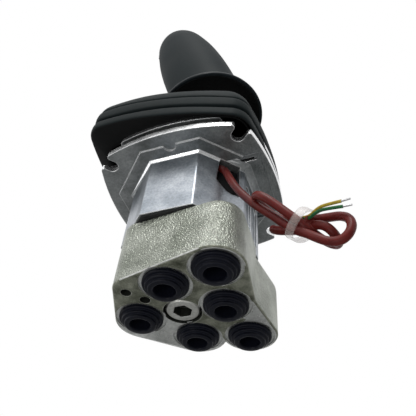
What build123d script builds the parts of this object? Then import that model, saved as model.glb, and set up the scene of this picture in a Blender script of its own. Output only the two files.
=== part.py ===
from build123d import *
import math
import os

# Hydraulic pilot joystick valve, millimetres. The origin is on the lever's axis in the plane
# of the mounting flange's underside. +Z runs up the lever and +X points to the side of the
# pressure and tank ports. The grip leans towards -X.

os.makedirs("parts", exist_ok=True)

# ---------------------------------------------------------------- driving dimensions
# Mounting flange of the control housing
slot_spacing = 70.0  # between slot centres, along X and along Y
slot_width = 7.0
slot_tip_radius = 1.5
flange_mid_half = 46.6  # half width at the middle of each bowed edge
flange_corner_half = 39.8  # half width where two bowed edges would meet
flange_thickness = 3.5
boot_rail_inset = 0.6
boot_rail_wall_inset = 3.4
boot_rail_gap = 1.8
boot_rail_thickness = 1.7
boot_rail_wall = 3.0
boot_rail_half = 28.0  # half length of each rail
boot_rail_end_radius = 2.0

# Octagonal neck of the control housing
neck_across_flats = 64.0
neck_height = 40.0
neck_edge_radius = 1.5
neck_flare = 2.0
pad_margin = 7.5
pad_thickness = 0.8
pad_notch_radius = 3.3

# Cable opening in the neck, on the corner face between +X and -Y
opening_left = 2.3
opening_right = 10.5
opening_height = 23.0
opening_slope = 6.5
opening_depth = 7.0
grommet_depth = 3.5

# Pocket and slot of the flange beside the neck, and the cast panels of the +X face
pocket_half_width = 22.0
pocket_depth = 1.5
pocket_edge = 4.4
lead_slot_length = 12.0
lead_slot_width = 2.0
panel_width = 9.0
panel_gap = 2.2
panel_depth = 1.2
panel_margin = 5.0

# Lower valve body: a hull round the port bosses, drawn in at the top of the front
body_height = 34.4
gasket_thickness = 0.6
body_foot_radius = 12.4  # round the foot corner between -X and -Y
body_foot = (-19.0, -18.8)
body_left_radius = 12.0
body_right_radius = 13.3
body_front_inset = 5.4  # the front boss stands this much further back at the top
body_front_top_radius = 12.0
body_top_radius = 0.9
body_edge_radius = 0.7
supply_shoulder_radius = 6.5

# Ports
spool_radius_position = 20.5  # from the lever's axis to each plunger and its work port
supply_port_x = 24.2
supply_port_y = 25.5
supply_boss_radius = 13.5
work_boss_radius = 13.0
spotface_radius = 11.75
spotface_depth = 0.8
port_bore_radius = 5.9
port_depth = 13.0
gallery_radius = 3.0
drilling_radius = 2.4
drilling_depth = 7.0

# Protective plugs
plug_flange_radius = 10.2
plug_middle_radius = 8.7
plug_nose_radius = 7.3
plug_flange_thickness = 1.7
plug_middle_thickness = 1.5
plug_nose_thickness = 1.4
plug_hole_radius = 4.9
plug_wall = 1.0
plug_stem = 9.0

# Centre bolt
bolt_radius = 5.0
bolt_head_radius = 8.0
bolt_head_height = 10.0
bolt_hex = 8.0
bolt_hex_depth = 5.0
bolt_recess = 0.5
bolt_clearance = 0.25
bolt_head_clearance = 0.9
bolt_engagement = 16.0

# Universal joint
pivot_height = 17.0
joint_shank_radius = 8.0
joint_shank_length = 24.0
joint_collar_hex = 26.0
joint_collar_height = 3.8
ear_half_gap = 4.5
ear_thickness = 4.0
ear_radius = 4.2
trunnion_radius = 2.5
running_clearance = 0.03
tilt_limit_deg = 16.0

# Cam plate, its fork and nut
cam_plate_lift = 5.0  # the plate's underside lies this far above the pivot
cam_plate_radius = 27.0
cam_plate_thickness = 5.0
cam_hat_radius = 14.5
cam_hat_wall = 4.0
cam_hat_height = 6.5
fork_hub_radius = 10.0
fork_hub_thickness = 4.7
stud_radius = 6.0
stud_length = 17.5
cam_nut_flats = 19.0
cam_nut_height = 6.0

# Plungers, bushes, springs and spools
plunger_radius = 3.5
plunger_gap = 0.3  # between a plunger's tip and the cam plate at rest
chamber_radius = 8.5
bush_head_radius = 9.6
bush_head_height = 2.2
bush_length = 12.0
seal_radius = 4.6
seal_section = 0.9
plunger_bottom = -18.0
plunger_bore_radius = 2.6
plunger_bore_depth = 10.0
seat_radius = 7.6
seat_thickness = 2.0
return_spring_outer = 7.4
return_spring_wire = 1.6
control_spring_outer = 4.4
control_spring_wire = 1.2
spool_radius = 4.0
spool_collar_radius = 5.0
spool_collar_thickness = 2.0
spool_collar_top = -31.0
spool_stem_radius = 2.0
spool_stem_top = -14.0
spool_bottom = -57.0
spool_groove_depth = 0.9
spool_groove_width = 4.0
spool_groove_count = 3

# Retaining plate of the bushes
retainer_radius = 31.0
retainer_thickness = 1.5
retainer_hole_radius = 4.4
retainer_screw_radius = 1.5
retainer_screw_head = 2.8
retainer_screw_length = 8.0
retainer_screw_position = 26.5

# Lever rod and its nuts
rod_radius = 8.0
rod_neck_radius = 6.0
rod_start_gap = 1.0
rod_shoulder = 74.0
rod_top = 112.0
lock_nut_flats = 19.0
lock_nut_height = 6.5

# Rubber boot: three pleats of a rounded square. Height above the rail and half width
boot_wall = 2.4
boot_corner_radius = 13.0
boot_pleats = (
    (0, 45.4),
    (2.5, 48.0),
    (16.5, 46.8),
    (19.0, 43.8),
    (21.5, 46.0),
    (34.5, 44.4),
    (37.0, 41.4),
    (39.5, 43.0),
    (51.0, 38.6),
)
boot_roof = ((55.0, 30.0), (59.0, 14.0), (65.0, 12.4))
boot_rod_gap = 0.3

# Grip: it leans back from the lever's axis, and the hand rest stands square to it
grip_lean_deg = 18.0
grip_foot = (7.0, 85.0)  # X and Z of the point from which the grip's stations are measured
grip_sections = (
    # (station along the grip, half depth, half width)
    (8.0, 23.5, 18.5),
    (30.0, 21.8, 17.0),
    (60.0, 23.0, 17.6),
    (100.0, 22.2, 17.6),
    (129.0, 19.8, 16.5),
    (145.0, 14.9, 12.6),
    (155.0, 9.0, 7.8),
    (160.0, 3.0, 2.6),
)
grip_screws_at = ((35.0, 0.0), (74.0, -12.0), (106.0, 4.0))  # station and offset to the front
grip_screw_radius = 2.0
grip_screw_head = 3.4
grip_screw_floor = 6.0  # from the parting plane to the underside of the heads
grip_screw_head_height = 3.0
rest_sections = (
    # (station along the grip, half length, half width)
    (-8.0, 39.0, 33.0),
    (-4.0, 38.0, 32.2),
    (2.0, 31.0, 26.0),
    (8.0, 25.5, 20.5),
)
rest_wall = 2.6
rest_boss_radius = 12.0
rest_boss_bottom = 82.0

# Push button on the front of the grip
button_station = 127.0
button_inset = 1.2
button_radius = 5.5
button_gap = 0.3
button_proud = 2.6
button_skirt = 5.0
bezel_radius = 8.0
bezel_rim = 1.2
bezel_depth = 6.5
bezel_proud = 0.8
switch_size = (12.0, 10.0, 18.0)
switch_clearance = 0.6
switch_actuator = (1.5, 2.0)

# Cable, its hank and its tie
cable_radius = 1.9
wire_radius = 0.6
hank_length = 31.0
hank_width = 16.0
hank_thickness = 9.0
hank_entry_offset = 4.0
hank_edge_radius = 3.5
tie_position = 10.8
tie_width = 4.5
tie_thickness = 1.1
wire_length = 17.0

# ---------------------------------------------------------------- derived dimensions
housing_bottom = -neck_height
body_top = housing_bottom - gasket_thickness
body_bottom = body_top - body_height
flange_top = flange_thickness
rail_bottom = flange_top + boot_rail_gap
rail_top = rail_bottom + boot_rail_thickness
retainer_top = flange_top + retainer_thickness
collar_top = retainer_top + joint_collar_height
cam_underside = pivot_height + cam_plate_lift
plunger_tip = cam_underside - plunger_gap
slot_circle = slot_spacing / math.sqrt(2)
work_ports = [
    (spool_radius_position, 0),
    (0, spool_radius_position),
    (-spool_radius_position, 0),
    (0, -spool_radius_position),
]
supply_ports = [(supply_port_x, -supply_port_y), (supply_port_x, supply_port_y)]
all_ports = work_ports + supply_ports
port_face = body_bottom + spotface_depth
drillings = [(-19.1, -19.6), (-13.0, -12.6)]


def save(part, name):
    part.label = name
    export_step(part, f"parts/{name}.step")


def bowed_square(mid_half, corner_half):
    """One bowed edge of the flange, to be repeated four times inside a BuildLine."""
    edge = ThreePointArc((-corner_half, -corner_half), (0, -mid_half), (corner_half, -corner_half))
    for turn in (90, 180, 270):
        add(edge.rotate(Axis.Z, turn))


# ---------------------------------------------------------------- control housing
pocket_outer = flange_mid_half - pocket_edge
rail_inset = boot_rail_wall_inset + boot_rail_wall
opening_plane = Plane(
    origin=(
        neck_across_flats / 2 / math.sqrt(2),
        -neck_across_flats / 2 / math.sqrt(2),
        0,
    ),
    x_dir=(1, 1, 0),
    z_dir=(1, -1, 0),
)
panel_plane = Plane(origin=(neck_across_flats / 2, 0, 0), x_dir=(0, 1, 0), z_dir=(1, 0, 0))

with BuildPart() as control_housing:
    # Flange with bowed edges and four slots that are open at the corners
    with BuildSketch(Plane.XY) as flange:
        with BuildLine():
            bowed_square(flange_mid_half, flange_corner_half)
        make_face()
        with PolarLocations(slot_circle, 4, start_angle=45):
            Circle(slot_width / 2, mode=Mode.SUBTRACT)
            Rectangle(
                slot_spacing / 2,
                slot_width,
                align=(Align.MIN, Align.CENTER),
                mode=Mode.SUBTRACT,
            )
        tips = flange.vertices().sort_by(lambda v: math.hypot(v.X, v.Y))[-8:]
        fillet(tips, slot_tip_radius)
    extrude(amount=flange_thickness)
    # Raised pad round the neck, with a half-round notch at the front
    with BuildSketch(Plane.XY):
        RegularPolygon(
            neck_across_flats / 2 + pad_margin, 8, major_radius=False, rotation=22.5
        )
        with Locations((0, -neck_across_flats / 2 - pad_margin)):
            Circle(pad_notch_radius, mode=Mode.SUBTRACT)
    extrude(amount=-pad_thickness)
    # Pocket in the underside beside the neck, with a narrow slot through the flange
    with BuildSketch(Plane.XY.offset(-pad_thickness)):
        with Locations((pocket_outer / 2, 0)):
            Rectangle(pocket_outer, 2 * pocket_half_width)
    extrude(amount=pad_thickness + pocket_depth, mode=Mode.SUBTRACT)
    with BuildSketch(Plane.XY):
        with Locations((pocket_outer - lead_slot_length / 2 - 2, -pocket_half_width + 4)):
            SlotOverall(lead_slot_length, lead_slot_width)
    extrude(amount=flange_thickness, mode=Mode.SUBTRACT)
    # Octagonal neck with softened vertical edges, and its flared root
    with BuildSketch(Plane.XY.offset(housing_bottom)) as neck_section:
        RegularPolygon(neck_across_flats / 2, 8, major_radius=False, rotation=22.5)
        fillet(neck_section.vertices(), neck_edge_radius)
    extrude(amount=neck_height + flange_thickness)
    with BuildSketch(Plane.XY.offset(pocket_depth)):
        RegularPolygon(
            neck_across_flats / 2 + neck_flare + pocket_depth, 8, major_radius=False, rotation=22.5
        )
    extrude(amount=-neck_flare - pocket_depth, taper=45)
    # Boot rail: a low wall with an outward lip along each side
    for bottom, height, outer_inset, half in (
        (flange_top, boot_rail_gap, boot_rail_wall_inset, boot_rail_half - boot_rail_wall_inset),
        (rail_bottom, boot_rail_thickness, boot_rail_inset, boot_rail_half),
    ):
        with BuildSketch(Plane.XY.offset(bottom)) as rail:
            with BuildLine():
                bowed_square(flange_mid_half - outer_inset, flange_corner_half - outer_inset)
            make_face()
            with BuildLine():
                bowed_square(flange_mid_half - rail_inset, flange_corner_half - rail_inset)
            make_face(mode=Mode.SUBTRACT)
            for corner in ((1, 1), (1, -1), (-1, 1), (-1, -1)):
                with Locations((corner[0] * half, corner[1] * half)):
                    Rectangle(
                        flange_mid_half,
                        flange_mid_half,
                        align=(
                            Align.MIN if corner[0] > 0 else Align.MAX,
                            Align.MIN if corner[1] > 0 else Align.MAX,
                        ),
                        mode=Mode.SUBTRACT,
                    )
            outer_ends = rail.vertices().sort_by(lambda v: math.hypot(v.X, v.Y))[-8:]
            fillet(outer_ends, boot_rail_end_radius)
        extrude(amount=height)
    # Two arched panels in the +X face of the neck
    with BuildSketch(panel_plane.offset(-panel_depth)):
        for side in (-1, 1):
            with Locations(
                (side * (panel_width + panel_gap) / 2, (housing_bottom - panel_margin) / 2)
            ):
                SlotOverall(neck_height - 2 * panel_margin, panel_width, rotation=90)
    extrude(amount=2 * panel_depth, mode=Mode.SUBTRACT)
    # Cable opening
    with BuildSketch(opening_plane.offset(-opening_depth)):
        with BuildLine():
            Polyline(
                (-opening_left + 1, -neck_flare / 2),
                (-opening_left, -opening_height + opening_slope),
                (opening_left, -opening_height + opening_slope / 4),
                (opening_right / 2, -opening_height),
                (opening_right, -opening_height),
                (opening_right, -neck_flare / 2),
                close=True,
            )
        make_face()
    extrude(amount=opening_depth + pad_margin, mode=Mode.SUBTRACT)
    # Plunger bores with a seat for each bush, and the stepped bore of the joint base
    with Locations(*[(x, y, flange_top) for x, y in work_ports]):
        CounterBoreHole(chamber_radius, bush_head_radius, bush_head_height)
    with Locations((0, 0, flange_top)):
        CounterBoreHole(bolt_radius + bolt_clearance, joint_shank_radius, joint_shank_length)
    # Tapped holes of the retaining plate's screws
    with Locations(
        *[
            (retainer_screw_position * math.cos(a), retainer_screw_position * math.sin(a), flange_top)
            for a in (math.radians(135), math.radians(225))
        ]
    ):
        Hole(retainer_screw_radius, retainer_screw_length)
save(control_housing.part, "control_housing")

# ---------------------------------------------------------------- housing gasket
with BuildPart() as housing_gasket:
    with BuildSketch(Plane.XY.offset(body_top)):
        RegularPolygon(neck_across_flats / 2 - 1, 8, major_radius=False, rotation=22.5)
        with Locations(*work_ports):
            Circle(chamber_radius, mode=Mode.SUBTRACT)
        Circle(bolt_radius + bolt_clearance, mode=Mode.SUBTRACT)
    extrude(amount=gasket_thickness)
save(housing_gasket.part, "housing_gasket")

# ---------------------------------------------------------------- valve body
spool_bore = spool_radius + running_clearance

# Shoulder of the rear supply port, with its well rounded top
with BuildPart() as supply_shoulder:
    with BuildSketch(Plane.XY.offset(body_bottom)):
        with Locations((supply_port_x, supply_port_y)):
            Circle(supply_boss_radius)
        with Locations((spool_radius_position, 0)):
            Circle(body_right_radius)
        make_hull()
    extrude(amount=body_height)
    fillet(supply_shoulder.faces().sort_by(Axis.Z)[-1].edges(), supply_shoulder_radius)

front_top = (supply_port_x - body_front_inset / 3, -supply_port_y + body_front_inset)
with BuildPart() as valve_body:
    for level, front_place, front_radius in (
        (body_bottom, supply_ports[0], supply_boss_radius),
        (body_top, front_top, body_front_top_radius),
    ):
        with BuildSketch(Plane.XY.offset(level)):
            with Locations(front_place):
                Circle(front_radius)
            with Locations(body_foot):
                Circle(body_foot_radius)
            with Locations((-spool_radius_position, 0)):
                Circle(body_left_radius)
            with Locations((0, spool_radius_position)):
                Circle(work_boss_radius)
            with Locations((spool_radius_position, 0)):
                Circle(body_right_radius)
            make_hull()
    loft()
    fillet(valve_body.faces().sort_by(Axis.Z)[-1].edges(), body_top_radius)
    add(supply_shoulder.part)
    chamfer(valve_body.faces().sort_by(Axis.Z)[0].edges(), body_edge_radius)
    # Ports: spot face, tapped bore, and for the work ports the bore of the spool above
    with Locations(*[(x, y, body_bottom) for x, y in all_ports]):
        Cylinder(
            spotface_radius,
            spotface_depth,
            align=(Align.CENTER, Align.CENTER, Align.MIN),
            mode=Mode.SUBTRACT,
        )
        Cylinder(
            port_bore_radius,
            port_depth,
            align=(Align.CENTER, Align.CENTER, Align.MIN),
            mode=Mode.SUBTRACT,
        )
    with Locations(*[(x, y, body_top) for x, y in work_ports]):
        Hole(spool_bore, body_height)
    # Galleries that rise from the pressure and tank ports
    with Locations(*[(x, y, body_bottom) for x, y in supply_ports]):
        Cylinder(
            gallery_radius,
            port_depth + gallery_radius * 2,
            align=(Align.CENTER, Align.CENTER, Align.MIN),
            mode=Mode.SUBTRACT,
        )
    # Counterbored hole of the centre bolt
    with Locations((0, 0, body_bottom)):
        Cylinder(
            bolt_radius + bolt_clearance,
            body_height,
            align=(Align.CENTER, Align.CENTER, Align.MIN),
            mode=Mode.SUBTRACT,
        )
        Cylinder(
            bolt_head_radius + bolt_head_clearance,
            bolt_head_height + bolt_recess,
            align=(Align.CENTER, Align.CENTER, Align.MIN),
            mode=Mode.SUBTRACT,
        )
    # Drilled galleries, closed by steel balls
    with Locations(*[(x, y, body_bottom) for x, y in drillings]):
        Cylinder(
            drilling_radius,
            drilling_depth,
            align=(Align.CENTER, Align.CENTER, Align.MIN),
            mode=Mode.SUBTRACT,
        )
save(valve_body.part, "valve_body")

# ---------------------------------------------------------------- gallery plugs
plug_ball_z = body_bottom + drilling_depth / 2
with BuildPart() as gallery_plugs:
    with BuildSketch(Plane.XY.offset(plug_ball_z)):
        with Locations(*drillings):
            Circle(drilling_radius)
    extrude(amount=drilling_depth / 3)
save(gallery_plugs.part, "gallery_plugs")

# ---------------------------------------------------------------- port plugs
plug_tip = port_face - plug_flange_thickness - plug_middle_thickness - plug_nose_thickness
for number, (port_x, port_y) in enumerate(all_ports, start=1):
    with BuildPart() as port_plug:
        with BuildSketch(Plane.XZ):
            with BuildLine():
                Polyline(
                    (plug_hole_radius, plug_tip),
                    (plug_nose_radius - 0.4, plug_tip),
                    (plug_nose_radius, plug_tip + 0.4),
                    (plug_nose_radius, plug_tip + plug_nose_thickness),
                    (plug_middle_radius, plug_tip + plug_nose_thickness),
                    (plug_middle_radius, port_face - plug_flange_thickness),
                    (plug_flange_radius, port_face - plug_flange_thickness),
                    (plug_flange_radius, port_face),
                    (port_bore_radius, port_face),
                    (port_bore_radius, port_face + plug_stem - 1),
                    (port_bore_radius - 0.6, port_face + plug_stem),
                    (0, port_face + plug_stem),
                    (0, port_face + plug_stem - plug_wall),
                    (plug_hole_radius - 0.5, port_face + plug_stem - plug_wall),
                    close=True,
                )
            make_face()
        revolve(axis=Axis.Z)
    save(port_plug.part.translate((port_x, port_y, 0)), f"port_plug_{number}")

# ---------------------------------------------------------------- centre bolt
bolt_head_bottom = body_bottom + bolt_recess
bolt_head_top = bolt_head_bottom + bolt_head_height
joint_shank_bottom = flange_top - joint_shank_length
bolt_top = joint_shank_bottom + bolt_engagement

with BuildPart() as centre_bolt:
    with BuildSketch(Plane.XY.offset(bolt_head_bottom)):
        Circle(bolt_head_radius)
    extrude(amount=bolt_head_height)
    chamfer(centre_bolt.faces().sort_by(Axis.Z)[0].edges(), 0.8)
    with BuildSketch(Plane.XY.offset(bolt_head_top)):
        Circle(bolt_radius)
    extrude(amount=bolt_top - bolt_head_top)
    with BuildSketch(Plane.XY.offset(bolt_head_bottom)):
        RegularPolygon(bolt_hex / 2, 6, major_radius=False)
    extrude(amount=bolt_hex_depth, mode=Mode.SUBTRACT)
save(centre_bolt.part, "centre_bolt")

# ---------------------------------------------------------------- plunger bushes and seals
bush_bottom = flange_top - bush_length
plunger_bore = plunger_radius + running_clearance

with BuildPart() as plunger_bushes:
    with Locations(*[(x, y, 0) for x, y in work_ports]):
        with Locations((0, 0, flange_top)):
            Cylinder(
                bush_head_radius, bush_head_height, align=(Align.CENTER, Align.CENTER, Align.MAX)
            )
            Cylinder(
                chamber_radius, bush_length, align=(Align.CENTER, Align.CENTER, Align.MAX)
            )
            Cylinder(
                seal_radius,
                2 * seal_section,
                align=(Align.CENTER, Align.CENTER, Align.MAX),
                mode=Mode.SUBTRACT,
            )
            Cylinder(
                plunger_bore,
                bush_length,
                align=(Align.CENTER, Align.CENTER, Align.MAX),
                mode=Mode.SUBTRACT,
            )
save(plunger_bushes.part, "plunger_bushes")

with BuildPart() as bush_seals:
    with BuildSketch(Plane.XY.offset(flange_top - 2 * seal_section)):
        with Locations(*work_ports):
            Circle(seal_radius)
            Circle(plunger_bore + running_clearance, mode=Mode.SUBTRACT)
    extrude(amount=2 * seal_section)
save(bush_seals.part, "bush_seals")

# ---------------------------------------------------------------- bush retaining plate
screw_places = [
    (retainer_screw_position * math.cos(a), retainer_screw_position * math.sin(a))
    for a in (math.radians(135), math.radians(225))
]
with BuildPart() as bush_retaining_plate:
    with BuildSketch(Plane.XY.offset(flange_top)):
        Circle(retainer_radius)
        with Locations(*work_ports):
            Circle(retainer_hole_radius, mode=Mode.SUBTRACT)
        with Locations(*screw_places):
            Circle(retainer_screw_radius, mode=Mode.SUBTRACT)
        Circle(joint_shank_radius, mode=Mode.SUBTRACT)
    extrude(amount=retainer_thickness)
save(bush_retaining_plate.part, "bush_retaining_plate")

with BuildPart() as retaining_screws:
    with Locations(*[(x, y, retainer_top) for x, y in screw_places]):
        Cylinder(retainer_screw_head, 1.8, align=(Align.CENTER, Align.CENTER, Align.MIN))
        Cylinder(
            retainer_screw_radius,
            retainer_thickness + retainer_screw_length - 1,
            align=(Align.CENTER, Align.CENTER, Align.MAX),
        )
save(retaining_screws.part, "retaining_screws")

# ---------------------------------------------------------------- universal joint
ear_outer = ear_half_gap + ear_thickness
trunnion_bore = trunnion_radius + running_clearance

with BuildPart() as joint_base:
    with BuildSketch(Plane.XY.offset(joint_shank_bottom)):
        Circle(joint_shank_radius)
    extrude(amount=retainer_top - joint_shank_bottom)
    with BuildSketch(Plane.XY.offset(retainer_top)):
        RegularPolygon(joint_collar_hex / 2, 6, major_radius=False)
    extrude(amount=joint_collar_height)
    # Two ears that carry the cross along X
    for side in (-1, 1):
        with BuildSketch(Plane.YZ.offset(side * ear_half_gap)):
            with Locations((0, pivot_height)):
                Circle(ear_radius)
            with Locations((0, (pivot_height + collar_top) / 2)):
                Rectangle(2 * ear_radius, pivot_height - collar_top)
            with Locations((0, pivot_height)):
                Circle(trunnion_bore, mode=Mode.SUBTRACT)
        extrude(amount=side * ear_thickness)
    with BuildSketch(Plane.XY.offset(joint_shank_bottom)):
        Circle(bolt_radius)
    extrude(amount=bolt_engagement + 2, mode=Mode.SUBTRACT)
save(joint_base.part, "joint_base")

cross_half = ear_half_gap - 0.4
with BuildPart() as joint_cross:
    with Locations((0, 0, pivot_height)):
        Box(2 * cross_half, 2 * cross_half, 2 * cross_half)
    chamfer(joint_cross.edges(), 1.0)
    for plane in (Plane.YZ, Plane.XZ):
        with BuildSketch(plane):
            with Locations((0, pivot_height)):
                Circle(trunnion_radius)
        extrude(amount=ear_outer, both=True)
save(joint_cross.part, "joint_cross")

# ---------------------------------------------------------------- fork, cam plate and nut
hat_roof_top = cam_underside + cam_plate_thickness + cam_hat_height
hat_roof_bottom = hat_roof_top - cam_hat_wall
hub_bottom = hat_roof_bottom - fork_hub_thickness
stud_top = hat_roof_bottom + stud_length

with BuildPart() as joint_fork:
    with BuildSketch(Plane.XY.offset(hub_bottom)):
        Circle(fork_hub_radius)
    extrude(amount=fork_hub_thickness)
    for side in (-1, 1):
        with BuildSketch(Plane.XZ.offset(side * ear_half_gap)):
            with Locations((0, pivot_height)):
                Circle(ear_radius)
            with Locations((0, (pivot_height + hub_bottom) / 2)):
                Rectangle(2 * ear_radius, hub_bottom - pivot_height)
            with Locations((0, pivot_height)):
                Circle(trunnion_bore, mode=Mode.SUBTRACT)
        extrude(amount=side * ear_thickness)
    with BuildSketch(Plane.XY.offset(hat_roof_bottom)):
        Circle(stud_radius)
    extrude(amount=stud_length)
    chamfer(joint_fork.faces().sort_by(Axis.Z)[-1].edges(), 1.0)
save(joint_fork.part, "joint_fork")

with BuildPart() as cam_plate:
    with BuildSketch(Plane.XZ):
        with BuildLine():
            Polyline(
                (stud_radius, hat_roof_bottom),
                (fork_hub_radius + 0.5, hat_roof_bottom),
                (fork_hub_radius + 0.5, cam_underside),
                (cam_plate_radius, cam_underside),
                (cam_plate_radius, cam_underside + cam_plate_thickness - 1.5),
                (cam_plate_radius - 1.5, cam_underside + cam_plate_thickness),
                (cam_hat_radius, cam_underside + cam_plate_thickness),
                (cam_hat_radius, hat_roof_top - 1.5),
                (cam_hat_radius - 1.5, hat_roof_top),
                (stud_radius, hat_roof_top),
                close=True,
            )
        make_face()
    revolve(axis=Axis.Z)
save(cam_plate.part, "cam_plate")

with BuildPart() as cam_nut:
    with BuildSketch(Plane.XY.offset(hat_roof_top)):
        RegularPolygon(cam_nut_flats / 2, 6, major_radius=False)
        Circle(stud_radius, mode=Mode.SUBTRACT)
    extrude(amount=cam_nut_height)
save(cam_nut.part, "cam_nut")

# ---------------------------------------------------------------- lever rod and lock nut
rod_bottom = hat_roof_top + cam_nut_height + rod_start_gap

with BuildPart() as lever_rod:
    with BuildSketch(Plane.XY.offset(rod_bottom)):
        Circle(rod_radius)
    extrude(amount=rod_shoulder - rod_bottom)
    chamfer(lever_rod.faces().sort_by(Axis.Z)[-1].edges(), 1.2)
    with BuildSketch(Plane.XY.offset(rod_shoulder)):
        Circle(rod_neck_radius)
    extrude(amount=rod_top - rod_shoulder)
    with BuildSketch(Plane.XY.offset(rod_bottom)):
        Circle(stud_radius)
    extrude(amount=stud_top - rod_bottom + 1, mode=Mode.SUBTRACT)
save(lever_rod.part, "lever_rod")

with BuildPart() as lock_nut:
    with BuildSketch(Plane.XY.offset(rest_boss_bottom - lock_nut_height)):
        RegularPolygon(lock_nut_flats / 2, 6, major_radius=False)
        Circle(rod_neck_radius, mode=Mode.SUBTRACT)
    extrude(amount=lock_nut_height)
save(lock_nut.part, "lock_nut")

# ---------------------------------------------------------------- plungers, seats, springs, spools
plunger_length = plunger_tip - plunger_bottom
seat_bottom = plunger_bottom - seat_thickness
for number, (port_x, port_y) in enumerate(work_ports, start=1):
    place = (port_x, port_y, 0)
    with BuildPart() as plunger:
        with BuildSketch(Plane.XZ):
            with BuildLine():
                Line((0, plunger_bottom + plunger_bore_depth), (0, plunger_tip))
                RadiusArc(
                    (0, plunger_tip),
                    (plunger_radius, plunger_tip - plunger_radius),
                    plunger_radius,
                )
                Polyline(
                    (plunger_radius, plunger_tip - plunger_radius),
                    (plunger_radius, plunger_bottom),
                    (plunger_bore_radius, plunger_bottom),
                    (plunger_bore_radius, plunger_bottom + plunger_bore_depth),
                    (0, plunger_bottom + plunger_bore_depth),
                )
            make_face()
        revolve(axis=Axis.Z)
    save(plunger.part.translate(place), f"plunger_{number}")

    with BuildPart() as spring_seat:
        with BuildSketch(Plane.XY.offset(seat_bottom)):
            Circle(seat_radius)
            Circle(plunger_bore_radius, mode=Mode.SUBTRACT)
        extrude(amount=seat_thickness)
    save(spring_seat.part.translate(place), f"spring_seat_{number}")

    with BuildPart() as return_spring:
        with BuildSketch(Plane.XY.offset(body_top)):
            Circle(return_spring_outer)
            Circle(return_spring_outer - return_spring_wire, mode=Mode.SUBTRACT)
        extrude(amount=seat_bottom - body_top)
    save(return_spring.part.translate(place), f"return_spring_{number}")

    with BuildPart() as control_spring:
        with BuildSketch(Plane.XY.offset(spool_collar_top)):
            Circle(control_spring_outer)
            Circle(control_spring_outer - control_spring_wire, mode=Mode.SUBTRACT)
        extrude(amount=seat_bottom - spool_collar_top)
    save(control_spring.part.translate(place), f"control_spring_{number}")

    with BuildPart() as spool:
        spool_collar_bottom = spool_collar_top - spool_collar_thickness
        with BuildSketch(Plane.XY.offset(spool_bottom)):
            Circle(spool_radius)
        extrude(amount=spool_collar_bottom - spool_bottom)
        with BuildSketch(Plane.XY.offset(spool_collar_bottom)):
            Circle(spool_collar_radius)
        extrude(amount=spool_collar_thickness)
        with BuildSketch(Plane.XY.offset(spool_collar_top)):
            Circle(spool_stem_radius)
        extrude(amount=spool_stem_top - spool_collar_top)
        for groove in range(spool_groove_count):
            groove_z = spool_bottom + spool_groove_width * (0.5 + 1.4 * groove)
            with BuildSketch(Plane.XY.offset(groove_z)):
                Circle(spool_radius)
                Circle(spool_radius - spool_groove_depth, mode=Mode.SUBTRACT)
            extrude(amount=spool_groove_width / 2, mode=Mode.SUBTRACT)
    save(spool.part.translate(place), f"spool_{number}")

# ---------------------------------------------------------------- rubber boot
boot_top = rail_top + boot_roof[-1][0]

with BuildPart() as boot:
    for wall, mode in ((0, Mode.ADD), (boot_wall, Mode.SUBTRACT)):
        for height, half in boot_pleats:
            with BuildSketch(Plane.XY.offset(rail_top + height)):
                RectangleRounded(2 * (half - wall), 2 * (half - wall), boot_corner_radius - wall)
        for height, half in boot_roof:
            with BuildSketch(Plane.XY.offset(rail_top + height - wall)):
                RectangleRounded(2 * (half - wall), 2 * (half - wall), 0.98 * (half - wall))
        loft(ruled=True, mode=mode)
    with BuildSketch(Plane.XY.offset(boot_top)):
        Circle(rod_radius + boot_rod_gap)
    extrude(amount=-boot_roof[-1][0] / 2, mode=Mode.SUBTRACT)
save(boot.part, "boot")

# ---------------------------------------------------------------- hand rest
lean = math.radians(grip_lean_deg)
grip_axis = Vector(-math.sin(lean), 0, math.cos(lean))
grip_front = Vector(-math.cos(lean), 0, -math.sin(lean))


def grip_plane(station, forward=0):
    foot = Vector(grip_foot[0], 0, grip_foot[1])
    place = foot + grip_axis * station + grip_front * forward
    return Plane(origin=place, x_dir=-grip_front, z_dir=grip_axis)


with BuildPart() as rest_hollow:
    for station, semi_x, semi_y in rest_sections:
        with BuildSketch(grip_plane(station - rest_wall)):
            Ellipse(semi_x - rest_wall, semi_y - rest_wall)
    loft()
    # A boss on the lever's axis stays solid, so that the lock nut has a flat seat
    with BuildSketch(Plane.XY.offset(rest_boss_bottom)):
        Circle(rest_boss_radius)
    extrude(amount=rest_boss_bottom, mode=Mode.SUBTRACT)

with BuildPart() as hand_rest:
    for station, semi_x, semi_y in rest_sections:
        with BuildSketch(grip_plane(station)):
            Ellipse(semi_x, semi_y)
    loft()
    add(rest_hollow.part, mode=Mode.SUBTRACT)
    with BuildSketch(Plane.XY.offset(rest_boss_bottom / 2)):
        Circle(rod_neck_radius)
    extrude(amount=rest_boss_bottom, mode=Mode.SUBTRACT)
save(hand_rest.part, "hand_rest")

# ---------------------------------------------------------------- grip
head_half = grip_sections[4][1]
button_frame = grip_plane(button_station, head_half - button_inset)
button_plane = Plane(origin=button_frame.origin, x_dir=(0, 1, 0), z_dir=grip_front)
switch_front = bezel_proud - bezel_depth - switch_clearance

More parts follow.
